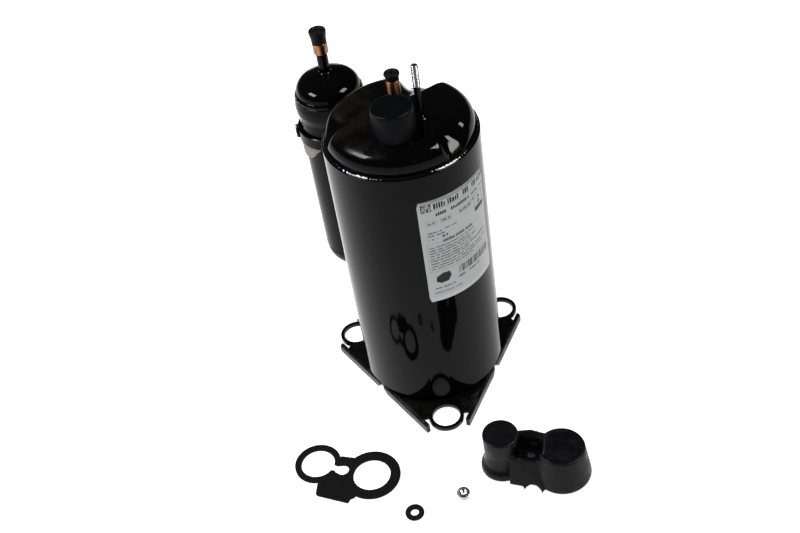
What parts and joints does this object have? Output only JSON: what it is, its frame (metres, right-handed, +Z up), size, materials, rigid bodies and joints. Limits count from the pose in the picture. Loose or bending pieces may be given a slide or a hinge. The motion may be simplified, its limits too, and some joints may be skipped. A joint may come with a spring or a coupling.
{
  "type": "refrigeration rotary compressor",
  "caption": "Hermetic rotary refrigeration compressor: black cylindrical shell on an eared foot plate, strapped side accumulator, plugged copper stubs, loose terminal cover kit.",
  "frame": {"origin": "on the shell axis, in the top face of the foot plate, at the centre of the foot-hole circle", "axes": "+Z up along the shell axis; -Y towards the front foot; +X to the right of the front foot; the accumulator is behind and to the left"},
  "size_m": [0.2209, 0.2691, 0.2889],
  "materials": {
    "shell_paint": "gloss",
    "weld_paint": "gloss",
    "plate_paint": "satin",
    "strap_paint": "gloss",
    "zinc": "satin",
    "pad_felt": "matte",
    "copper": "satin",
    "rubber": "matte",
    "label_film": "satin",
    "terminal_steel": "satin",
    "seal_glass": "gloss",
    "pump_iron": "machined",
    "ground_steel": "ground",
    "pressed_steel": "satin",
    "lamination": "stacked sheet",
    "magnet_wire": "enamelled",
    "rotor_aluminium": "cast",
    "weight_brass": "satin",
    "insulation": "matte"
  },
  "bodies": {
    "compressor": {"acc_body": "shell_paint", "acc_bottom_dome": "shell_paint", "acc_bracket": "shell_paint", "acc_screen": "pressed_steel", "acc_standpipe": "pressed_steel", "acc_strap": "strap_paint", "acc_strap_bolt": "zinc", "acc_strap_pad": "pad_felt", "acc_top_dome": "shell_paint", "acc_top_weld": "weld_paint", "bottom_cap": "shell_paint", "bottom_weld": "weld_paint", "cover_stud": "zinc", "cylinder_block": "pump_iron", "discharge_tube": "copper", "foot_plate": "plate_paint", "foot_weld": "weld_paint", "lead_connector": "insulation", "lead_wires": "insulation", "main_bearing": "pump_iron", "muffler_cover": "pressed_steel", "pump_bolts": "ground_steel", "rating_label": "label_film", "rim_weld": "weld_paint", "shell_tube": "shell_paint", "stator_core": "lamination", "stator_winding": "magnet_wire", "sub_bearing": "pump_iron", "suction_elbow": "shell_paint", "suction_fitting": "shell_paint", "suction_tube": "copper", "terminal_body": "terminal_steel", "terminal_glass": "seal_glass", "terminal_pins": "terminal_steel", "top_cap": "shell_paint", "valve_rivet": "ground_steel", "valve_stop": "ground_steel", "vane_spring": "ground_steel"},
    "crank": {"crankshaft": "pump_iron", "oil_paddle": "ground_steel", "rotor_core": "lamination", "rotor_end_rings": "rotor_aluminium", "balance_weights": "weight_brass"},
    "rolling_piston": {"roller": "ground_steel"},
    "vane_blade": {"vane": "ground_steel"},
    "discharge_reed": {"reed_valve": "ground_steel"},
    "terminal_transit_cap": {"terminal_cap": "rubber"},
    "discharge_transit_plug": {"discharge_plug": "rubber"},
    "suction_transit_plug": {"suction_plug": "rubber"},
    "loose_terminal_cover": {"terminal_cover": "rubber"},
    "loose_gasket": {"cover_gasket": "rubber"},
    "loose_washer": {"cover_washer": "rubber"},
    "loose_nut": {"cover_nut": "zinc"}
  },
  "joints": [
    {"name": "crank_spin", "type": "hinge", "parent": "compressor", "child": "crank", "pos_m": [0, 0, 0.028], "axis": [0, 0, 1], "continuous": true},
    {"name": "roller_spin", "type": "hinge", "parent": "crank", "child": "rolling_piston", "pos_m": [-0.0035, -0.0035, 0.028], "axis": [0, 0, 1], "continuous": true},
    {"name": "vane_slide", "type": "slide", "parent": "compressor", "child": "vane_blade", "axis": [0, 1, 0], "range_m": [-0.0084, 0]},
    {"name": "reed_lift", "type": "hinge", "parent": "compressor", "child": "discharge_reed", "pos_m": [-0.01358, 0.02512, 0.0412], "axis": [-0.3746, -0.9272, 0], "range_deg": [0, 4.5], "stiffness_Nm_per_rad": 0.02},
    {"name": "terminal_cap_pull", "type": "slide", "parent": "compressor", "child": "terminal_transit_cap", "axis": [0, 0, 1], "range_m": [0, 0.03]},
    {"name": "discharge_plug_pull", "type": "slide", "parent": "compressor", "child": "discharge_transit_plug", "axis": [0, 0, 1], "range_m": [0, 0.06]},
    {"name": "suction_plug_pull", "type": "slide", "parent": "compressor", "child": "suction_transit_plug", "axis": [0, 0, 1], "range_m": [0, 0.06]},
    {"name": "cover_lift", "type": "slide", "parent": "compressor", "child": "loose_terminal_cover", "axis": [0, 0, 1], "range_m": [0, 0.06]},
    {"name": "gasket_lift", "type": "slide", "parent": "compressor", "child": "loose_gasket", "axis": [0, 0, 1], "range_m": [0, 0.04]},
    {"name": "washer_lift", "type": "slide", "parent": "compressor", "child": "loose_washer", "axis": [0, 0, 1], "range_m": [0, 0.04]},
    {"name": "nut_lift", "type": "slide", "parent": "compressor", "child": "loose_nut", "axis": [0, 0, 1], "range_m": [0, 0.04]}
  ],
  "couplings": [
    {"joint": "roller_spin", "follows": "crank_spin", "ratio": -1.2912}
  ]
}
